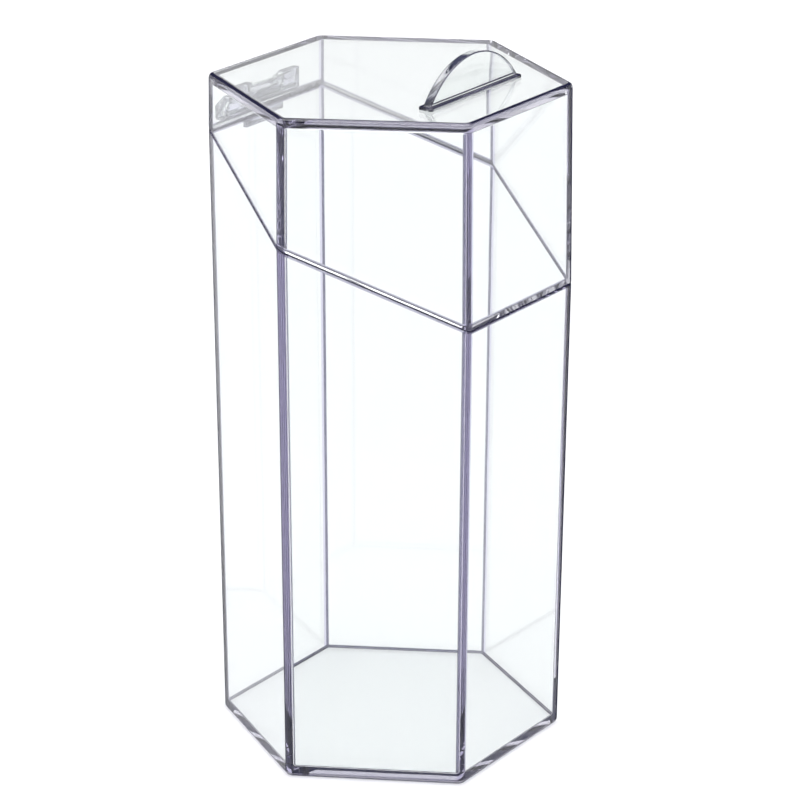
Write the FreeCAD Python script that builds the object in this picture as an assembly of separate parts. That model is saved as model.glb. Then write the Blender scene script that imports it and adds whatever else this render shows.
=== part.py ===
import FreeCAD, Part
import math
import os

# Clear moulded brush holder: a tall hexagonal beaker with a hinged lid. The two meet on a slanted
# plane, high at the back and low at the front, so the front is open wide when the lid is up.
# Millimetres. +Z is up and z = 0 is the underside. The hinge is on the +Y side and the lid lifts
# at -Y. Two corners of the hexagon lie on the X axis.

# Hexagon and heights
CORNER_RADIUS = 61.0  # from the axis to a sharp corner, where body and lid meet
TOTAL_HEIGHT = 231.3
PARTING_BACK = 212.6  # height of the slanted joint at the hinge side
PARTING_FRONT = 162.2  # height of the slanted joint at the lifting side
PARTING_GAP = 0.3
BODY_DRAFT = 0.5  # degrees, the body narrows downwards from the joint
LID_DRAFT = 0.7  # degrees, the lid narrows upwards from the joint

# Walls and roundings
WALL = 3.2
FLOOR = 3.0
LID_PLATE = 3.6
OUTER_CORNER = 3.2
INNER_CORNER = 1.0
BASE_EDGE = 1.6
TOP_EDGE = 1.5
INNER_FLOOR_EDGE = 0.8

# Handle, a half-moon plate on a thin foot
HANDLE_Y = -31.7  # middle of the plate
HANDLE_THICKNESS = 3.0
HANDLE_CHORD = 49.4
HANDLE_RISE = 12.6  # from the foot to the top of the arch
HANDLE_EDGE = 0.4
HANDLE_FOOT_LENGTH = 52.0
HANDLE_FOOT_WIDTH = 5.4
HANDLE_FOOT_THICKNESS = 1.0
HANDLE_FOOT_CORNER = 1.2

# Hinge
HINGE_LENGTH = 34.8
KNUCKLE_LENGTH = 16.6  # the body's middle knuckle
LUG_START = 8.6  # the lid's lugs begin this far from the middle
LEAF_THICKNESS = 1.4
LEAF_BURIED = 1.0  # leaves are drawn this far into the wall, then trimmed to its face
BRIDGE_REACH_UP = 6.7  # lid leaf's bridge between the lugs, above the joint
LUG_REACH_UP = 7.7  # lugs, above the joint
LEAF_REACH_DOWN = 4.9  # body leaf, below the joint
LEAF_CLEAR_OF_JOINT = 0.4  # each leaf stops this far from the joint
PIN_OUT = 3.0  # from the outer wall at the joint to the pin's axis
PIN_RISE = 1.5  # of the pin's axis above the joint
PIN_RADIUS = 1.0
PIN_END_RECESS = 0.4
BARREL_RADIUS = 2.4
LUG_SHELF = 1.0  # a lug's top is level this far out from the leaf
LUG_SHOULDER_RISE = 2.4  # of a lug's upright outer face above the pin's axis
LUG_HEEL_OUT = 3.0  # square heels of the lugs stop against the back wall at 107 degrees
LUG_HEEL_DOWN = 2.42
LUG_HEEL_CORNER = 0.8
LUG_BORE_CLEARANCE = 0.06
KNUCKLE_BORE_CLEARANCE = 0.02
BRIDGE_CLEARANCE = 0.5  # lid leaf's bridge above the body's knuckle

SIDE_NORMALS = [30, 90, 150, 210, 270, 330]  # degrees, directions that the six sides face
SIDE_DISTANCE = CORNER_RADIUS * math.cos(math.radians(30))  # from the axis to a side
BEYOND = 40.0  # large cutting solids reach this far past what they cut
OVERRUN = 1.0  # hollows and bores run this far past the ends that they open
NEAR = 1e-3  # places closer than this are the same

Vector = FreeCAD.Vector


def box_between(x_low, x_high, y_low, y_high, z_low, z_high):
    """A box from its limits."""
    corner = Vector(x_low, y_low, z_low)
    return Part.makeBox(x_high - x_low, y_high - y_low, z_high - z_low, corner)


def joint_height(y):
    """Height of the slanted plane where body and lid meet."""
    share = (y + SIDE_DISTANCE) / (2 * SIDE_DISTANCE)
    return PARTING_FRONT + (PARTING_BACK - PARTING_FRONT) * share


def drafted_side(direction, lean, inset):
    """One side as nx * x + ny * y = offset + lean * z. It holds its own stretch of the slanted
    joint and leans out by lean for each unit of height."""
    nx = math.cos(math.radians(direction))
    ny = math.sin(math.radians(direction))
    joint_slope = (PARTING_BACK - PARTING_FRONT) / (2 * SIDE_DISTANCE)
    rise_along_side = joint_slope * nx
    sideways = lean * rise_along_side
    height = joint_height(ny * SIDE_DISTANCE)
    offset = SIDE_DISTANCE - lean * height - inset
    return nx - ny * sideways, ny + nx * sideways, offset


def side_block(direction, lean, inset, z_low, z_high):
    """All the space outside one drafted side, from well below z_low to well above z_high."""
    nx, ny, offset = drafted_side(direction, lean, inset)
    length_squared = nx * nx + ny * ny
    outward = Vector(nx, ny, 0)
    along = Vector(-ny, nx, 0) * 2 * CORNER_RADIUS
    low_z = z_low - BEYOND
    high_z = z_high + BEYOND
    low = outward * ((offset + lean * low_z) / length_squared) + Vector(0, 0, low_z)
    high = outward * ((offset + lean * high_z) / length_squared) + Vector(0, 0, high_z)
    outline = [low - along, low + along, high + along, high - along]
    face = Part.Face(Part.makePolygon(outline + outline[:1]))
    return face.extrude(outward * 2 * CORNER_RADIUS)


def hexagon_solid(draft, inset, z_low, z_high):
    """Six drafted sides between two level planes."""
    lean = math.tan(math.radians(draft))
    reach = CORNER_RADIUS + BEYOND
    solid = box_between(-reach, reach, -reach, reach, z_low, z_high)
    for direction in SIDE_NORMALS:
        solid = solid.cut(side_block(direction, lean, inset, z_low, z_high))
    return solid.Solids[0]


def upright_edges(solid):
    """The six edges that run from the bottom level to the top level."""
    tall = 0.5 * solid.BoundBox.ZLength
    return [edge for edge in solid.Edges if edge.BoundBox.ZLength > tall]


def level_edges(solid, z):
    """All edges that lie at height z."""
    level = []
    for edge in solid.Edges:
        heights = [point.z for point in edge.discretize(5)]
        if max(heights) - z < NEAR and z - min(heights) < NEAR:
            level.append(edge)
    return level


def rounded_hexagon(draft, inset, z_low, z_high, corner, level, edge_radius):
    """A hexagon solid with rounded corners and one rounded end."""
    solid = hexagon_solid(draft, inset, z_low, z_high)
    solid = solid.makeFillet(corner, upright_edges(solid))
    return solid.makeFillet(edge_radius, level_edges(solid, level))


def joint_block(above, shift):
    """Everything above or below the slanted joint, shifted up by shift."""
    reach = SIDE_DISTANCE + BEYOND
    far_z = TOTAL_HEIGHT + BEYOND if above else -BEYOND
    outline = [
        Vector(-reach, -reach, joint_height(-reach) + shift),
        Vector(-reach, reach, joint_height(reach) + shift),
        Vector(-reach, reach, far_z),
        Vector(-reach, -reach, far_z),
    ]
    face = Part.Face(Part.makePolygon(outline + outline[:1]))
    return face.extrude(Vector(2 * reach, 0, 0))


def body_shell():
    """Open beaker: flat floor, six drafted walls, rim on the slanted joint."""
    top = TOTAL_HEIGHT
    outer = rounded_hexagon(BODY_DRAFT, 0, 0, top, OUTER_CORNER, 0, BASE_EDGE)
    hollow = rounded_hexagon(
        BODY_DRAFT, WALL, FLOOR, top + OVERRUN, INNER_CORNER, FLOOR, INNER_FLOOR_EDGE
    )
    return outer.cut(hollow).cut(joint_block(True, 0)).Solids[0]


def lid_shell():
    """Cap: flat top plate and six drafted walls of different depth down to the slanted joint."""
    low = PARTING_FRONT - BEYOND
    ceiling = TOTAL_HEIGHT - LID_PLATE
    outer = rounded_hexagon(-LID_DRAFT, 0, low, TOTAL_HEIGHT, OUTER_CORNER, TOTAL_HEIGHT, TOP_EDGE)
    hollow = rounded_hexagon(
        -LID_DRAFT, WALL, low - OVERRUN, ceiling, INNER_CORNER, ceiling, INNER_FLOOR_EDGE
    )
    return outer.cut(hollow).cut(joint_block(False, PARTING_GAP)).Solids[0]


def lid_handle():
    """Solid half-moon plate standing on a thin foot, cemented to the lid's top."""
    foot_top = TOTAL_HEIGHT + HANDLE_FOOT_THICKNESS
    foot = box_between(
        -HANDLE_FOOT_LENGTH / 2,
        HANDLE_FOOT_LENGTH / 2,
        HANDLE_Y - HANDLE_FOOT_WIDTH / 2,
        HANDLE_Y + HANDLE_FOOT_WIDTH / 2,
        TOTAL_HEIGHT,
        foot_top,
    )
    foot = foot.makeFillet(HANDLE_FOOT_CORNER, upright_edges(foot))
    front = HANDLE_Y - HANDLE_THICKNESS / 2
    left = Vector(-HANDLE_CHORD / 2, front, foot_top)
    right = Vector(HANDLE_CHORD / 2, front, foot_top)
    crown = Vector(0, front, foot_top + HANDLE_RISE)
    outline = Part.Wire([Part.Arc(left, crown, right).toShape(), Part.LineSegment(right, left).toShape()])
    plate = Part.Face(outline).extrude(Vector(0, HANDLE_THICKNESS, 0))
    arches = [edge for edge in plate.Edges if edge.BoundBox.ZMax > foot_top + HANDLE_RISE / 2]
    arches = [edge for edge in arches if edge.BoundBox.YLength < HANDLE_EDGE]
    plate = plate.makeFillet(HANDLE_EDGE, arches)
    return foot.fuse(plate).removeSplitter().Solids[0]


def pin_centre():
    """The pin's axis in the YZ plane, as (y, z)."""
    return SIDE_DISTANCE + PIN_OUT, PARTING_BACK + PIN_RISE


def barrel(x_low, x_high, radius):
    """A cylinder on the pin's axis."""
    y, z = pin_centre()
    return Part.makeCylinder(radius, x_high - x_low, Vector(x_low, y, z), Vector(1, 0, 0))


def profile_along_x(points, x_low, x_high):
    """A prism whose YZ outline is given."""
    outline = [Vector(x_low, y, z) for y, z in points]
    face = Part.Face(Part.makePolygon(outline + outline[:1]))
    return face.extrude(Vector(x_high - x_low, 0, 0))


def hinge_body_leaf():
    """Leaf on the body's back wall, with the middle knuckle that holds the pin."""
    half = KNUCKLE_LENGTH / 2
    y, z = pin_centre()
    low = PARTING_BACK - LEAF_REACH_DOWN
    high = PARTING_BACK - LEAF_CLEAR_OF_JOINT
    outline = [
        (SIDE_DISTANCE - LEAF_BURIED, high),
        (y, high),
        (y, z),
        (y + BARREL_RADIUS, z),
        (y + BARREL_RADIUS / 2, high),
        (SIDE_DISTANCE + LEAF_THICKNESS, low + LEAF_THICKNESS),
        (SIDE_DISTANCE + LEAF_THICKNESS, low),
        (SIDE_DISTANCE - LEAF_BURIED, low),
    ]
    shape = profile_along_x(outline, -half, half).fuse(barrel(-half, half, BARREL_RADIUS))
    wall = hexagon_solid(BODY_DRAFT, 0, 0, TOTAL_HEIGHT)
    bore = barrel(-half - OVERRUN, half + OVERRUN, PIN_RADIUS + KNUCKLE_BORE_CLEARANCE)
    return shape.cut(wall).cut(bore).removeSplitter().Solids[0]


def lid_lug(x_low, x_high):
    """One lug of the lid's leaf: barrel, square heel, upright outer face and a level top."""
    y, z = pin_centre()
    top = PARTING_BACK + LUG_REACH_UP
    outline = [
        (SIDE_DISTANCE - LEAF_BURIED, PARTING_BACK + PARTING_GAP + LEAF_CLEAR_OF_JOINT),
        (y, PARTING_BACK + PARTING_GAP + LEAF_CLEAR_OF_JOINT),
        (y, z - LUG_HEEL_DOWN),
        (y + LUG_HEEL_OUT, z - LUG_HEEL_DOWN),
        (y + LUG_HEEL_OUT, z + LUG_SHOULDER_RISE),
        (SIDE_DISTANCE + LEAF_THICKNESS + LUG_SHELF, top),
        (SIDE_DISTANCE - LEAF_BURIED, top),
    ]
    lug = profile_along_x(outline, x_low, x_high)
    heel = []
    for edge in lug.Edges:
        middle = edge.BoundBox.Center
        if abs(middle.y - y - LUG_HEEL_OUT) < NEAR and abs(middle.z - z + LUG_HEEL_DOWN) < NEAR:
            heel.append(edge)
    return lug.makeFillet(LUG_HEEL_CORNER, heel).fuse(barrel(x_low, x_high, BARREL_RADIUS))


def hinge_lid_leaf():
    """Leaf on the lid's back wall, with two lugs that turn on the pin."""
    half = HINGE_LENGTH / 2
    y, z = pin_centre()
    bridge = box_between(
        -half,
        half,
        SIDE_DISTANCE - LEAF_BURIED,
        SIDE_DISTANCE + LEAF_THICKNESS,
        z + BARREL_RADIUS + BRIDGE_CLEARANCE,
        PARTING_BACK + BRIDGE_REACH_UP,
    )
    shape = bridge.fuse(lid_lug(-half, -LUG_START)).fuse(lid_lug(LUG_START, half))
    wall = hexagon_solid(-LID_DRAFT, 0, PARTING_FRONT - BEYOND, TOTAL_HEIGHT)
    bore = barrel(-half - OVERRUN, half + OVERRUN, PIN_RADIUS + LUG_BORE_CLEARANCE)
    return shape.cut(wall).cut(bore).removeSplitter().Solids[0]


def hinge_pin():
    """Straight pin through the knuckle and both lugs."""
    half = HINGE_LENGTH / 2 - PIN_END_RECESS
    return barrel(-half, half, PIN_RADIUS)


os.makedirs("parts", exist_ok=True)
NODES = {
    "body_shell": body_shell(),
    "lid_shell": lid_shell(),
    "lid_handle": lid_handle(),
    "hinge_body_leaf": hinge_body_leaf(),
    "hinge_lid_leaf": hinge_lid_leaf(),
    "hinge_pin": hinge_pin(),
}
for name, shape in NODES.items():
    shape.exportStep("parts/" + name + ".step")
    print(name, shape.isValid(), len(shape.Solids), "solid", round(shape.Volume / 1000, 2), "cm3")
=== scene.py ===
from math import cos, pi, radians, sin, tan

import bmesh
import bpy
from mathutils import Matrix, Quaternion, Vector


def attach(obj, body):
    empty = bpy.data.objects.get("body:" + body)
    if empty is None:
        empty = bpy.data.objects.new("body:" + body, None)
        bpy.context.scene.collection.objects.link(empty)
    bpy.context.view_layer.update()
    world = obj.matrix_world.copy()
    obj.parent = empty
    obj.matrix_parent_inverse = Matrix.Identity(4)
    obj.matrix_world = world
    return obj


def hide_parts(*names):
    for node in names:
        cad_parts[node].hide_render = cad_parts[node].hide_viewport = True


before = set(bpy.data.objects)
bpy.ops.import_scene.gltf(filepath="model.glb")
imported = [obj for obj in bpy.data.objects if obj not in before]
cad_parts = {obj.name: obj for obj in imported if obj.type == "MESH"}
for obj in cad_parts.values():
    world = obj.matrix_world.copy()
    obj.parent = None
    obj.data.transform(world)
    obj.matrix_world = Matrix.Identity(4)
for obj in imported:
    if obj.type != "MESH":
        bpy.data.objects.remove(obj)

scene = bpy.context.scene
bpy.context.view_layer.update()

# ---------------------------------------------------------------------------------------------
# Camera. It looks down at the holder from above its front left side, from about a metre away with
# a long lens, so the uprights stay nearly parallel.

CAMERA_AZIMUTH = radians(-54.519)
CAMERA_ELEVATION = radians(20.964)
CAMERA_DISTANCE = 1.12107
CAMERA_ROLL = radians(0.176)
CAMERA_TARGET = Vector((0.00191, -0.00268, 0.11833))
CAMERA_LENS = 148.67
CAMERA_SENSOR_WIDTH = 36.0
CAMERA_CLIP_END = 50.0

camera_data = bpy.data.cameras.new("camera")
camera_data.lens = CAMERA_LENS
camera_data.sensor_width = CAMERA_SENSOR_WIDTH
camera_data.clip_end = CAMERA_CLIP_END
camera = bpy.data.objects.new("camera", camera_data)
scene.collection.objects.link(camera)
towards_camera = Vector((
    sin(CAMERA_AZIMUTH) * cos(CAMERA_ELEVATION),
    -cos(CAMERA_AZIMUTH) * cos(CAMERA_ELEVATION),
    sin(CAMERA_ELEVATION),
))
camera.location = CAMERA_TARGET + towards_camera * CAMERA_DISTANCE
camera.rotation_mode = "QUATERNION"
aim = (-towards_camera).to_track_quat("-Z", "Y")
camera.rotation_quaternion = aim @ Quaternion((0, 0, 1), CAMERA_ROLL)
scene.camera = camera

# ---------------------------------------------------------------------------------------------
# Table and light. The holder stands on a matt white table top under one broad soft light from
# overhead, with pale screens low down all round. The room between the screens and the light is
# dark, which helps to draw the edges of the clear plastic.

TABLE_HALF_WIDTH = 8.0
TABLE_SQUARES = 8
TABLE_BELOW_FOOT = 0.0002
TABLE_WHITE = (0.86, 0.86, 0.865, 1)
TABLE_ROUGHNESS = 0.9
TABLE_GLOSS = 0.2
SCREEN_PALE = (0.26, 0.261, 0.262, 1)
ROOM_DARK = (0.010, 0.0105, 0.026, 1)
LIGHT_WHITE = (1, 1, 1, 1)
LIGHT_STRENGTH = 3.6
LIGHT_BY_HEIGHT = [  # the height is the sine of the angle above the table
    (0.40, SCREEN_PALE),
    (0.42, ROOM_DARK),
    (0.80, ROOM_DARK),
    (0.85, LIGHT_WHITE),
]
TURNS_OF_LIGHT = 256  # light caught in a wall of clear plastic turns many times before it is out

table_bm = bmesh.new()
bmesh.ops.create_grid(
    table_bm, x_segments=TABLE_SQUARES, y_segments=TABLE_SQUARES, size=TABLE_HALF_WIDTH,
    matrix=Matrix.Translation((0, 0, -TABLE_BELOW_FOOT)),
)
table_mesh = bpy.data.meshes.new("table")
table_bm.to_mesh(table_mesh)
table_bm.free()
table = bpy.data.objects.new("table", table_mesh)
scene.collection.objects.link(table)

table_paint = bpy.data.materials.new("table_paint")
table_paint.use_nodes = True
paint = table_paint.node_tree.nodes["Principled BSDF"]
paint.inputs["Base Color"].default_value = TABLE_WHITE
paint.inputs["Roughness"].default_value = TABLE_ROUGHNESS
paint.inputs["Specular IOR Level"].default_value = TABLE_GLOSS
table_mesh.materials.append(table_paint)

world = bpy.data.worlds.new("studio")
scene.world = world
world.use_nodes = True
sky = world.node_tree
direction = sky.nodes.new("ShaderNodeTexCoord")
parts = sky.nodes.new("ShaderNodeSeparateXYZ")
ramp = sky.nodes.new("ShaderNodeValToRGB")
sky.links.new(direction.outputs["Generated"], parts.inputs["Vector"])
sky.links.new(parts.outputs["Z"], ramp.inputs["Fac"])
sky.links.new(ramp.outputs["Color"], sky.nodes["Background"].inputs["Color"])
sky.nodes["Background"].inputs["Strength"].default_value = LIGHT_STRENGTH
stops = ramp.color_ramp.elements
stops[0].position, stops[0].color = LIGHT_BY_HEIGHT[0]
stops[1].position, stops[1].color = LIGHT_BY_HEIGHT[-1]
for height, shade in LIGHT_BY_HEIGHT[1:-1]:
    stops.new(height).color = shade
scene.view_settings.view_transform = "Standard"
scene.cycles.max_bounces = TURNS_OF_LIGHT
scene.cycles.transmission_bounces = TURNS_OF_LIGHT
scene.cycles.glossy_bounces = TURNS_OF_LIGHT

# ---------------------------------------------------------------------------------------------
# Beaker. One injection moulding in clear polystyrene: a flat floor and six walls that narrow
# downwards so that it leaves the mould, with the rim cut on the slant. Its faces are polished, and
# its roundings, which the tool polisher reaches badly, are duller. The roundings also carry painted
# shade, from violet to dark, which stands in for the dark edges of the clear plastic.

HEX_SIDE = 0.0528275  # from the middle to each outer wall, at the joint
HEIGHT = 0.2313
JOINT_BACK = 0.2126
JOINT_FRONT = 0.1622
JOINT_MIDDLE = (JOINT_BACK + JOINT_FRONT) / 2
JOINT_SLOPE = (JOINT_BACK - JOINT_FRONT) / (2 * HEX_SIDE)
WALL = 0.0032
FLOOR = 0.003
BODY_LEAN = tan(radians(0.5))
OUTER_CORNER = 0.0032
INNER_CORNER = 0.001
BASE_EDGE = 0.0016
INNER_FLOOR_EDGE = 0.0008
RIM_EDGE = 0.0005
CORNER_STEPS = 10
END_STEPS = 6
RIM_STEPS = 4
BLANK_WIDTH = 0.3
BLANK_TOP = 0.26
WELL_BLANK_TOP = 0.27
SAME_POINT = 1e-7
ON_PLANE = 1e-6
SAME_WAY = 0.999
FLAT_FACES_FIRST = 100

# How dull each rounding is, from 0, polished, to 1. The same number sets how much painted shade it
# carries, from clear through violet to dark. A pair is for a crown and for its side.
OUTER_DULL_AND_SHADE = 0.4
BASE_DULL_AND_SHADE = (0.75, 0.1)
INNER_DULL_AND_SHADE = 0.95
INNER_FLOOR_DULL_AND_SHADE = (1.0, 1.0)
RIM_DULL_AND_SHADE = 0.2
RIM_EDGE_DULL_AND_SHADE = 0.7
SIDE_TILT = (0.05, 0.7)  # the upward part of the normals that count as an end's side

PLASTIC_IOR = 1.55
PLASTIC_TONER = (0.26, 0.22, 0.39, 1)
PLASTIC_TONER_DENSITY = 7.0
# The roundings' colour runs from this clear colour through a painted violet to a painted dark, by
# how they are marked: painted shade for the dark edges of the clear plastic.
PLASTIC_CLEAR = (0.945, 0.965, 0.952, 1)
PAINTED_EDGE_VIOLET = (0.52, 0.49, 0.70, 1)
PAINTED_EDGE_VIOLET_AT = 0.4
PAINTED_EDGE_DARK = (0.02, 0.02, 0.045, 1)
DULL_ROUGHNESS = 0.06
WAVE_DEPTH = 0.00002
BEAKER_WAVES = 30.0
# The angles at which a dark diffuse is mixed in as painted shade, and its colour.
GLANCE_RANGE = (0.42, 0.62)
GLANCE_STRENGTH = 3.0
SKIM_RANGE = (0.86, 0.92)
GRAZING_SHADE = (0.018, 0.018, 0.042, 1)


def side_plane(number, lean, inset):
    """A point and the outward normal of a side, which leans about its own line in the joint."""
    out = Vector((cos(pi / 6 + number * pi / 3), sin(pi / 6 + number * pi / 3), 0))
    along = Vector((-out.y, out.x, JOINT_SLOPE * out.x))
    point = out * HEX_SIDE + Vector((0, 0, JOINT_MIDDLE + JOINT_SLOPE * out.y * HEX_SIDE))
    normal = along.cross(out * lean + Vector((0, 0, 1))).normalized()
    return point - out * inset, normal


def joint_plane(shift):
    """A point and the upward normal of the slanted joint."""
    return Vector((0, 0, JOINT_MIDDLE + shift)), Vector((0, -JOINT_SLOPE, 1)).normalized()


def cut(bm, point, normal):
    """Saws off what lies beyond a plane, and gives the edges of the open cut."""
    geometry = bm.verts[:] + bm.edges[:] + bm.faces[:]
    sawn = bmesh.ops.bisect_plane(
        bm, geom=geometry, dist=SAME_POINT, plane_co=point, plane_no=normal, clear_outer=True
    )
    return [e for e in sawn["geom_cut"] if isinstance(e, bmesh.types.BMEdge)]


def round_off(bm, edges, setback, segments, dull_and_shade):
    """Rounds edges, set back so far on the faces beside them, and marks how dull they are and how
    much painted shade they carry.
    """
    rounded = bmesh.ops.bevel(
        bm, geom=edges, offset=setback, offset_type="OFFSET", affect="EDGES", segments=segments,
        profile=0.5, material=-1,
    )
    mark = bm.faces.layers.float["dull_and_shade"]
    for face in rounded["faces"]:
        face[mark] = dull_and_shade


def moulded_hexagon(lean, inset, low, high, corner, corner_dull_and_shade, end_z, end_radius, end_dull_and_shade):
    """A drafted hexagonal block with rounded corners and one rounded end. Its roundings are marked
    with how dull they are and how much painted shade they carry, and the end's crown and side are
    marked apart."""
    bm = bmesh.new()
    bm.faces.layers.float.new("dull_and_shade")
    bmesh.ops.create_cube(bm, size=1)
    bmesh.ops.scale(bm, vec=(BLANK_WIDTH, BLANK_WIDTH, high - low), verts=bm.verts)
    bmesh.ops.translate(bm, vec=(0, 0, (low + high) / 2), verts=bm.verts)
    for number in range(6):
        point, normal = side_plane(number, lean, inset)
        bmesh.ops.contextual_create(bm, geom=cut(bm, point, normal))
    bmesh.ops.recalc_face_normals(bm, faces=bm.faces)
    half_height = 0.5 * (high - low)
    uprights = [e for e in bm.edges if abs(e.verts[0].co.z - e.verts[1].co.z) > half_height]
    round_off(bm, uprights, corner * tan(pi / 6), CORNER_STEPS, corner_dull_and_shade)
    ends = [e for e in bm.edges if all(abs(v.co.z - end_z) < ON_PLANE for v in e.verts)]
    crown_dull_and_shade, side_dull_and_shade = end_dull_and_shade
    round_off(bm, ends, end_radius, END_STEPS, crown_dull_and_shade)
    bm.normal_update()
    mark = bm.faces.layers.float["dull_and_shade"]
    for face in bm.faces:
        if SIDE_TILT[0] < abs(face.normal.z) < SIDE_TILT[1]:
            face[mark] = side_dull_and_shade
    return bm


def hollow_shell(outer, hollow, point, normal):
    """Cuts block and hollow on one plane, joins them along the rim, and breaks the rim's edges."""
    cut(outer, point, normal)
    cut(hollow, point, normal)
    bmesh.ops.reverse_faces(hollow, faces=hollow.faces)
    lining = bpy.data.meshes.new("lining")
    hollow.to_mesh(lining)
    outer.from_mesh(lining)
    bpy.data.meshes.remove(lining)
    hollow.free()
    rim = bmesh.ops.bridge_loops(outer, edges=[e for e in outer.edges if e.is_boundary])["faces"]
    # The rim and its broken edges are marked for roughness and for painted shade.
    mark = outer.faces.layers.float["dull_and_shade"]
    for face in rim:
        face[mark] = RIM_DULL_AND_SHADE
    outer.normal_update()
    rim_edges = []
    for e in outer.edges:
        if all(abs((v.co - point).dot(normal)) < ON_PLANE for v in e.verts):
            on_rim = [abs(f.normal.dot(normal)) > SAME_WAY for f in e.link_faces]
            if on_rim.count(True) == 1:
                rim_edges.append(e)
    round_off(outer, rim_edges, RIM_EDGE, RIM_STEPS, RIM_EDGE_DULL_AND_SHADE)


def clear_plastic(name, wave_scale):
    """Clear polystyrene with a faint green-blue cast, a violet toner that shows only through its
    edges, and the faint waves of a moulding. Its marked roundings are rough and carry painted
    shade, from violet to dark. A dark diffuse is mixed in as painted shade where a marked rounding
    is seen at a grazing angle, and where any face is seen at a grazing angle from inside."""
    material = bpy.data.materials.new(name)
    material.use_nodes = True
    nodes = material.node_tree.nodes
    links = material.node_tree.links

    def stretched(value, low, high, top):
        span = nodes.new("ShaderNodeMapRange")
        span.inputs["From Min"].default_value = low
        span.inputs["From Max"].default_value = high
        span.inputs["To Max"].default_value = top
        links.new(value, span.inputs["Value"])
        return span.outputs["Result"]

    def combined(operation, first, second):
        pair = nodes.new("ShaderNodeMath")
        pair.operation = operation
        pair.use_clamp = True
        links.new(first, pair.inputs[0])
        links.new(second, pair.inputs[1])
        return pair.outputs["Value"]

    def mixed(share, first, second):
        blend = nodes.new("ShaderNodeMixShader")
        links.new(share, blend.inputs["Fac"])
        links.new(first, blend.inputs[1])
        links.new(second, blend.inputs[2])
        return blend.outputs["Shader"]

    shader = nodes["Principled BSDF"]
    shader.inputs["IOR"].default_value = PLASTIC_IOR
    shader.inputs["Transmission Weight"].default_value = 1.0
    # Painted shade: the marked roundings are coloured from clear through violet to dark. The same
    # mark makes them rougher.
    marked = nodes.new("ShaderNodeAttribute")
    marked.attribute_name = "dull_and_shade"
    dull_and_shade = marked.outputs["Fac"]
    painted_edge_shade = nodes.new("ShaderNodeValToRGB")
    painted_edge_shade.color_ramp.elements[0].color = PLASTIC_CLEAR
    painted_edge_shade.color_ramp.elements[1].color = PAINTED_EDGE_DARK
    painted_edge_shade.color_ramp.elements.new(PAINTED_EDGE_VIOLET_AT).color = PAINTED_EDGE_VIOLET
    links.new(dull_and_shade, painted_edge_shade.inputs["Fac"])
    links.new(painted_edge_shade.outputs["Color"], shader.inputs["Base Color"])
    links.new(stretched(dull_and_shade, 0.0, 1.0, DULL_ROUGHNESS), shader.inputs["Roughness"])

    place = nodes.new("ShaderNodeTexCoord")
    waves = nodes.new("ShaderNodeTexNoise")
    waves.inputs["Scale"].default_value = wave_scale
    waves.inputs["Detail"].default_value = 1.0
    links.new(place.outputs["Object"], waves.inputs["Vector"])
    swell = nodes.new("ShaderNodeBump")
    swell.inputs["Strength"].default_value = 1.0
    swell.inputs["Distance"].default_value = WAVE_DEPTH
    links.new(waves.outputs["Fac"], swell.inputs["Height"])
    links.new(swell.outputs["Normal"], shader.inputs["Normal"])

    toner = nodes.new("ShaderNodeVolumeAbsorption")
    toner.inputs["Color"].default_value = PLASTIC_TONER
    toner.inputs["Density"].default_value = PLASTIC_TONER_DENSITY
    links.new(toner.outputs["Volume"], nodes["Material Output"].inputs["Volume"])

    # Painted shade: a dark diffuse is mixed in where a marked rounding, or a face seen from inside,
    # is seen at a grazing angle. It stands in for the dark room seen in the edges.
    slant = nodes.new("ShaderNodeLayerWeight").outputs["Facing"]
    from_inside = nodes.new("ShaderNodeNewGeometry").outputs["Backfacing"]
    glance = combined("MULTIPLY", stretched(slant, *GLANCE_RANGE, GLANCE_STRENGTH), dull_and_shade)
    skim = combined("MULTIPLY", stretched(slant, *SKIM_RANGE, 1.0), from_inside)
    shade = nodes.new("ShaderNodeBsdfDiffuse")
    shade.inputs["Color"].default_value = GRAZING_SHADE
    surface = mixed(combined("MAXIMUM", glance, skim), shader.outputs["BSDF"], shade.outputs["BSDF"])

    # The plastic throws no shadow, so the table under the beaker is as bright as round it.
    path = nodes.new("ShaderNodeLightPath")
    open_way = nodes.new("ShaderNodeBsdfTransparent")
    surface = mixed(path.outputs["Is Shadow Ray"], surface, open_way.outputs["BSDF"])
    links.new(surface, nodes["Material Output"].inputs["Surface"])
    return material


def finished_piece(name, bm, body, node, material):
    """Makes a bmesh into a smooth piece that stands for its node."""
    bmesh.ops.remove_doubles(bm, verts=bm.verts, dist=SAME_POINT)
    for face in bm.faces:
        face.smooth = True
    mesh = bpy.data.meshes.new(name)
    bm.to_mesh(mesh)
    bm.free()
    mesh.materials.append(material)
    piece = bpy.data.objects.new(name, mesh)
    scene.collection.objects.link(piece)
    piece.modifiers.new("even_normals", "WEIGHTED_NORMAL").weight = FLAT_FACES_FIRST
    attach(piece, body)
    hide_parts(node)


beaker = moulded_hexagon(
    BODY_LEAN, 0, 0, BLANK_TOP, OUTER_CORNER, OUTER_DULL_AND_SHADE, 0, BASE_EDGE, BASE_DULL_AND_SHADE
)
well = moulded_hexagon(
    BODY_LEAN, WALL, FLOOR, WELL_BLANK_TOP, INNER_CORNER, INNER_DULL_AND_SHADE,
    FLOOR, INNER_FLOOR_EDGE, INNER_FLOOR_DULL_AND_SHADE,
)
hollow_shell(beaker, well, *joint_plane(0))
beaker_plastic = clear_plastic("beaker_plastic", BEAKER_WAVES)
finished_piece("beaker", beaker, "holder", "body_shell", beaker_plastic)

# ---------------------------------------------------------------------------------------------
# Lid. A second moulding in the same plastic: a flat top plate and six walls that reach down to
# the slanted joint, short at the hinge and deep at the front. It narrows upwards, and a thin gap
# keeps it off the beaker's rim.

LID_LEAN = -tan(radians(0.7))
LID_PLATE = 0.0036
TOP_EDGE = 0.0015
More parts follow.
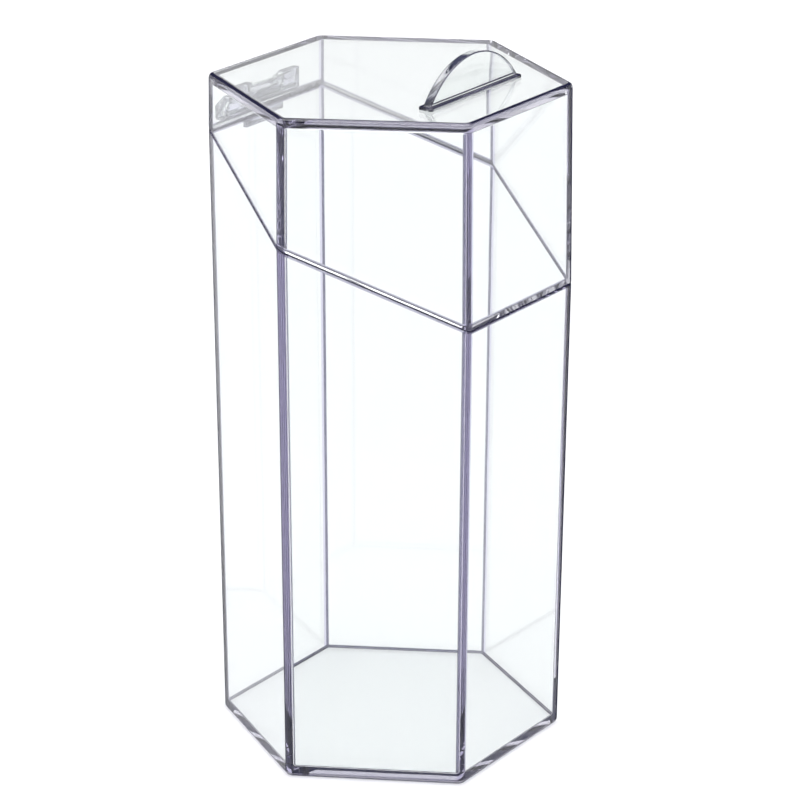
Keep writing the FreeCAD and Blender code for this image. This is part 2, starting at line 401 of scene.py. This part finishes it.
# How dull the top edge and the ceiling edge are, and how much painted shade they carry.
TOP_DULL_AND_SHADE = (0.75, 0.1)
CEILING_EDGE = 0.0003
CEILING_DULL_AND_SHADE = (0.0, 0.0)
JOINT_GAP = 0.0003
LID_BLANK_LOW = 0.12
LID_HOLLOW_LOW = 0.11
LID_WAVES = 34.0

cap = moulded_hexagon(
    LID_LEAN, 0, LID_BLANK_LOW, HEIGHT, OUTER_CORNER, OUTER_DULL_AND_SHADE, HEIGHT, TOP_EDGE, TOP_DULL_AND_SHADE
)
ceiling = HEIGHT - LID_PLATE
cap_hollow = moulded_hexagon(
    LID_LEAN, WALL, LID_HOLLOW_LOW, ceiling, INNER_CORNER, INNER_DULL_AND_SHADE,
    ceiling, CEILING_EDGE, CEILING_DULL_AND_SHADE,
)
gap_point, gap_normal = joint_plane(JOINT_GAP)
hollow_shell(cap, cap_hollow, gap_point, -gap_normal)
lid_plastic = clear_plastic("lid_plastic", LID_WAVES)
finished_piece("lid", cap, "lid", "lid_shell", lid_plastic)

# ---------------------------------------------------------------------------------------------
# Handle. A solid half-moon plate on a thin oblong foot, moulded in one piece of the same clear
# plastic and cemented to the lid towards the front. Fingers pinch the half-moon to lift the lid.

HANDLE_Y = -0.0317
HANDLE_THICKNESS = 0.003
HANDLE_CHORD = 0.0494
HANDLE_RISE = 0.0126
HANDLE_EDGE = 0.0004
FOOT_LENGTH = 0.052
FOOT_WIDTH = 0.0054
FOOT_HEIGHT = 0.001
FOOT_CORNER = 0.0012
FOOT_EDGE = 0.0003
CEMENT = 0.00003
# How dull the handle's roundings are and how much painted shade they carry.
HANDLE_DULL_AND_SHADE = 0.75
HANDLE_WAVES = 60.0
ARCH_STEPS = 48
HANDLE_EDGE_STEPS = 3
FOOT_CORNER_STEPS = 6
FOOT_EDGE_STEPS = 2
APART = 1e-5
MANY_CORNERS = 8  # the two flat sides of the half-moon have more, and the strips round it have 4
foot_top = HEIGHT + FOOT_HEIGHT
front = HANDLE_Y - HANDLE_THICKNESS / 2
arch_radius = ((HANDLE_CHORD / 2) ** 2 + HANDLE_RISE ** 2) / (2 * HANDLE_RISE)
arch_centre_z = foot_top + HANDLE_RISE - arch_radius
arch_end = Vector((HANDLE_CHORD / 2, 0, foot_top - arch_centre_z))
arch_turn = 2 * (pi / 2 - arch_end.angle(Vector((1, 0, 0))))


def lies_at(edge_or_face, z, slack):
    """Says whether an edge or a face lies level at a height."""
    return all(abs(v.co.z - z) < slack for v in edge_or_face.verts)


handle = bmesh.new()
handle.faces.layers.float.new("dull_and_shade")
arch_start = handle.verts.new((HANDLE_CHORD / 2, front, foot_top))
bmesh.ops.spin(
    handle, geom=[arch_start], cent=(0, front, arch_centre_z), axis=(0, -1, 0), angle=arch_turn,
    steps=ARCH_STEPS,
)
half_moon = bmesh.ops.contextual_create(handle, geom=handle.verts[:])["faces"]
raised = bmesh.ops.extrude_face_region(handle, geom=half_moon)["geom"]
back_verts = [v for v in raised if isinstance(v, bmesh.types.BMVert)]
bmesh.ops.translate(handle, vec=(0, HANDLE_THICKNESS, 0), verts=back_verts)
bmesh.ops.recalc_face_normals(handle, faces=handle.faces)
arch_edges = [
    e for e in handle.edges
    if abs(e.verts[0].co.y - e.verts[1].co.y) < SAME_POINT
    and not lies_at(e, foot_top, APART)
    and any(len(f.verts) > MANY_CORNERS for f in e.link_faces)
]
round_off(handle, arch_edges, HANDLE_EDGE, HANDLE_EDGE_STEPS, HANDLE_DULL_AND_SHADE)
underside = [f for f in handle.faces if lies_at(f, foot_top, ON_PLANE)]
bmesh.ops.delete(handle, geom=underside, context="FACES_ONLY")

foot = bmesh.ops.create_cube(handle, size=1)["verts"]
bmesh.ops.scale(handle, vec=(FOOT_LENGTH, FOOT_WIDTH, FOOT_HEIGHT - CEMENT), verts=foot)
bmesh.ops.translate(handle, vec=(0, HANDLE_Y, HEIGHT + (FOOT_HEIGHT + CEMENT) / 2), verts=foot)
foot_uprights = [
    e for e in {e for v in foot for e in v.link_edges}
    if abs(e.verts[0].co.z - e.verts[1].co.z) > APART
]
round_off(handle, foot_uprights, FOOT_CORNER, FOOT_CORNER_STEPS, HANDLE_DULL_AND_SHADE)
foot_edges = [e for e in handle.edges if lies_at(e, foot_top, SAME_POINT) and not e.is_boundary]
round_off(handle, foot_edges, FOOT_EDGE, FOOT_EDGE_STEPS, HANDLE_DULL_AND_SHADE)

# The half-moon grows out of the foot's top: its open lower edge is joined to the foot's open top.
level_faces = [f for f in handle.faces if lies_at(f, foot_top, SAME_POINT)]
plateau = max(level_faces, key=lambda f: f.calc_area())
bmesh.ops.delete(handle, geom=[plateau], context="FACES_ONLY")
bmesh.ops.bridge_loops(handle, edges=[e for e in handle.edges if e.is_boundary])
handle_plastic = clear_plastic("handle_plastic", HANDLE_WAVES)
finished_piece("handle", handle, "lid", "lid_handle", handle_plastic)

# ---------------------------------------------------------------------------------------------
# Hinge, body half. A small clear moulding outside the back wall: a flat leaf that is cemented to
# the wall just under the joint, and one long round knuckle that holds the pin.

PIN_OUT = 0.003
PIN_RISE = 0.0015
PIN_RADIUS = 0.001
KNUCKLE_RADIUS = 0.0024
KNUCKLE_LENGTH = 0.0166
KNUCKLE_ARC = (-67.7, 232.3)
KNUCKLE_STEPS = 48
KNUCKLE_PLAY = 0.00003
BORE_STEPS = 32
LEAF = 0.0014
LEAF_LOW = 0.0049
LEAF_HIGH = 0.0004
LEAF_FOLLOWS_WALL = 0.00005
# How dull the hinge's rounded faces are and how much painted shade they carry.
HINGE_DULL_AND_SHADE = 0.25
HINGE_WAVES = 90.0
pin_y = HEX_SIDE + PIN_OUT
pin_z = JOINT_BACK + PIN_RISE
wall_y = HEX_SIDE + CEMENT


def round_the_pin(radius, start, end, steps):
    """Points of an arc about the pin, counted in degrees from straight out, upwards."""
    points = []
    for step in range(steps + 1):
        turn = radians(start + (end - start) * step / steps)
        points.append(Vector((0, pin_y + radius * cos(turn), pin_z + radius * sin(turn))))
    return points


def pierced_plate(bm, outline, bore, left, right):
    """A plate of the hinge: a flat outline with the bore in it, drawn out along the pin. The faces
    round its outline and in the bore are marked a little dull, with a little painted shade."""
    rings = []
    for points in (outline, round_the_pin(bore, 0, 360 - 360 / BORE_STEPS, BORE_STEPS - 1)):
        corners = [bm.verts.new(Vector((left, point.y, point.z))) for point in points]
        rings += [bm.edges.new((corners[i - 1], corners[i])) for i in range(len(corners))]
    filled = bmesh.ops.triangle_fill(bm, use_beauty=True, use_dissolve=False, edges=rings)["geom"]
    faces = [f for f in filled if isinstance(f, bmesh.types.BMFace)]
    drawn = bmesh.ops.extrude_face_region(bm, geom=faces)["geom"]
    moved = [v for v in drawn if isinstance(v, bmesh.types.BMVert)]
    bmesh.ops.translate(bm, vec=(right - left, 0, 0), verts=moved)
    bm.normal_update()
    mark = bm.faces.layers.float["dull_and_shade"]
    for face in bm.faces:
        if abs(face.normal.x) < 0.5:
            face[mark] = HINGE_DULL_AND_SHADE


body_leaf = bmesh.new()
body_leaf.faces.layers.float.new("dull_and_shade")
leaf_low = JOINT_BACK - LEAF_LOW
leaf_outline = [
    Vector((0, wall_y, JOINT_BACK - LEAF_HIGH)),
    Vector((0, wall_y - LEAF_FOLLOWS_WALL, leaf_low)),
    Vector((0, HEX_SIDE + LEAF, leaf_low)),
    Vector((0, HEX_SIDE + LEAF, leaf_low + LEAF)),
] + round_the_pin(KNUCKLE_RADIUS, *KNUCKLE_ARC, KNUCKLE_STEPS)
pierced_plate(
    body_leaf, leaf_outline, PIN_RADIUS + KNUCKLE_PLAY, -KNUCKLE_LENGTH / 2, KNUCKLE_LENGTH / 2
)
bmesh.ops.recalc_face_normals(body_leaf, faces=body_leaf.faces)
hinge_plastic = clear_plastic("hinge_plastic", HINGE_WAVES)
finished_piece("body_leaf", body_leaf, "holder", "hinge_body_leaf", hinge_plastic)

# ---------------------------------------------------------------------------------------------
# Hinge, lid half. A clear moulding in one: two lugs, one at each end of the knuckle, and a bridge
# between them, cemented to the lid's back wall. The lugs' heels come up to the beaker's wall when
# the lid is fully open, and hold it there.

HINGE_LENGTH = 0.0348
LUG_START = 0.0086
LUG_TOP = 0.0062
LUG_TOP_OUT = 0.0024
LUG_FOLLOWS_WALL = 0.00009
LUG_ARC = (199.5, 270)
LUG_ARC_STEPS = 12
LUG_ARC_START = 0.0008
LUG_EDGE = 0.003
LUG_EDGE_TOP = 0.0024
LUG_PLAY = 0.00006
HEEL = [(0.0022, -0.00242), (0.0026, -0.0023), (0.00289, -0.002), (LUG_EDGE, -0.0016)]
BRIDGE_LOW = 0.0029
BRIDGE_HIGH = 0.0052
FINE_SAW = 1e-8
bridge_low = pin_z + BRIDGE_LOW
bridge_high = pin_z + BRIDGE_HIGH
bridge_front = HEX_SIDE + LEAF

lid_leaf = bmesh.new()
lid_leaf.faces.layers.float.new("dull_and_shade")
lug_outline = [
    Vector((0, wall_y - LUG_FOLLOWS_WALL, pin_z + LUG_TOP)),
    Vector((0, wall_y, pin_z - LUG_ARC_START)),
] + round_the_pin(KNUCKLE_RADIUS, *LUG_ARC, LUG_ARC_STEPS) + [
    Vector((0, pin_y + out, pin_z + rise)) for out, rise in HEEL
] + [
    Vector((0, pin_y + LUG_EDGE, pin_z + LUG_EDGE_TOP)),
    Vector((0, HEX_SIDE + LUG_TOP_OUT, pin_z + LUG_TOP)),
]
for side in (-1, 1):
    pierced_plate(
        lid_leaf, lug_outline, PIN_RADIUS + LUG_PLAY, side * LUG_START, side * HINGE_LENGTH / 2
    )

# The bridge's section is marked out on the lugs' inner faces, which then open into it.
for point, normal in (
    ((0, 0, bridge_low), (0, 0, 1)),
    ((0, 0, bridge_high), (0, 0, 1)),
    ((0, bridge_front, 0), (0, 1, 0)),
):
    everything = lid_leaf.verts[:] + lid_leaf.edges[:] + lid_leaf.faces[:]
    bmesh.ops.bisect_plane(
        lid_leaf, geom=everything, dist=FINE_SAW, plane_co=point, plane_no=normal
    )
mouths = []
for f in lid_leaf.faces:
    middle = f.calc_center_median()
    if abs(abs(middle.x) - LUG_START) < ON_PLANE and middle.y < bridge_front:
        if bridge_low < middle.z < bridge_high:
            mouths.append(f)
bmesh.ops.delete(lid_leaf, geom=mouths, context="FACES")
bmesh.ops.bridge_loops(lid_leaf, edges=[e for e in lid_leaf.edges if e.is_boundary])
bmesh.ops.recalc_face_normals(lid_leaf, faces=lid_leaf.faces)
finished_piece("lid_leaf", lid_leaf, "lid", "hinge_lid_leaf", hinge_plastic)

# ---------------------------------------------------------------------------------------------
# Pin. A plain length of drawn steel wire, held in the knuckle and free to turn in the two lugs. It
# has faint drawing marks along it. Its ends are rounded off and sit just inside the lugs.

PIN_END_RECESS = 0.0004
PIN_EDGE = 0.00015
PIN_EDGE_STEPS = 2
PIN_FACETS = 32
STEEL_DARK = (0.42, 0.43, 0.44, 1)
STEEL_PALE = (0.64, 0.64, 0.65, 1)
STEEL_ROUGHNESS = (0.22, 0.42)
DRAWING_MARKS = (60, 2500, 2500)

pin = bmesh.new()
bmesh.ops.create_cone(
    pin, cap_ends=True, segments=PIN_FACETS, radius1=PIN_RADIUS, radius2=PIN_RADIUS,
    depth=HINGE_LENGTH - 2 * PIN_END_RECESS,
    matrix=Matrix.Translation((0, pin_y, pin_z)) @ Matrix.Rotation(pi / 2, 4, "Y"),
)
pin.faces.layers.float.new("dull_and_shade")
end_edges = [e for e in pin.edges if abs(e.verts[0].co.x - e.verts[1].co.x) < ON_PLANE]
round_off(pin, end_edges, PIN_EDGE, PIN_EDGE_STEPS, 0.0)

pin_steel = bpy.data.materials.new("pin_steel")
pin_steel.use_nodes = True
wire = pin_steel.node_tree.nodes
links = pin_steel.node_tree.links
steel = wire["Principled BSDF"]
steel.inputs["Metallic"].default_value = 1
place = wire.new("ShaderNodeTexCoord")
drawn = wire.new("ShaderNodeMapping")
drawn.inputs["Scale"].default_value = DRAWING_MARKS
marks = wire.new("ShaderNodeTexNoise")
marks.inputs["Scale"].default_value = 1.0
marks.inputs["Detail"].default_value = 2.0
grey = wire.new("ShaderNodeValToRGB")
grey.color_ramp.elements[0].color = STEEL_DARK
grey.color_ramp.elements[1].color = STEEL_PALE
sheen = wire.new("ShaderNodeMapRange")
sheen.inputs["To Min"].default_value, sheen.inputs["To Max"].default_value = STEEL_ROUGHNESS
links.new(place.outputs["Object"], drawn.inputs["Vector"])
links.new(drawn.outputs["Vector"], marks.inputs["Vector"])
links.new(marks.outputs["Fac"], grey.inputs["Fac"])
links.new(grey.outputs["Color"], steel.inputs["Base Color"])
links.new(marks.outputs["Fac"], sheen.inputs["Value"])
links.new(sheen.outputs["Result"], steel.inputs["Roughness"])
finished_piece("pin", pin, "holder", "hinge_pin", pin_steel)
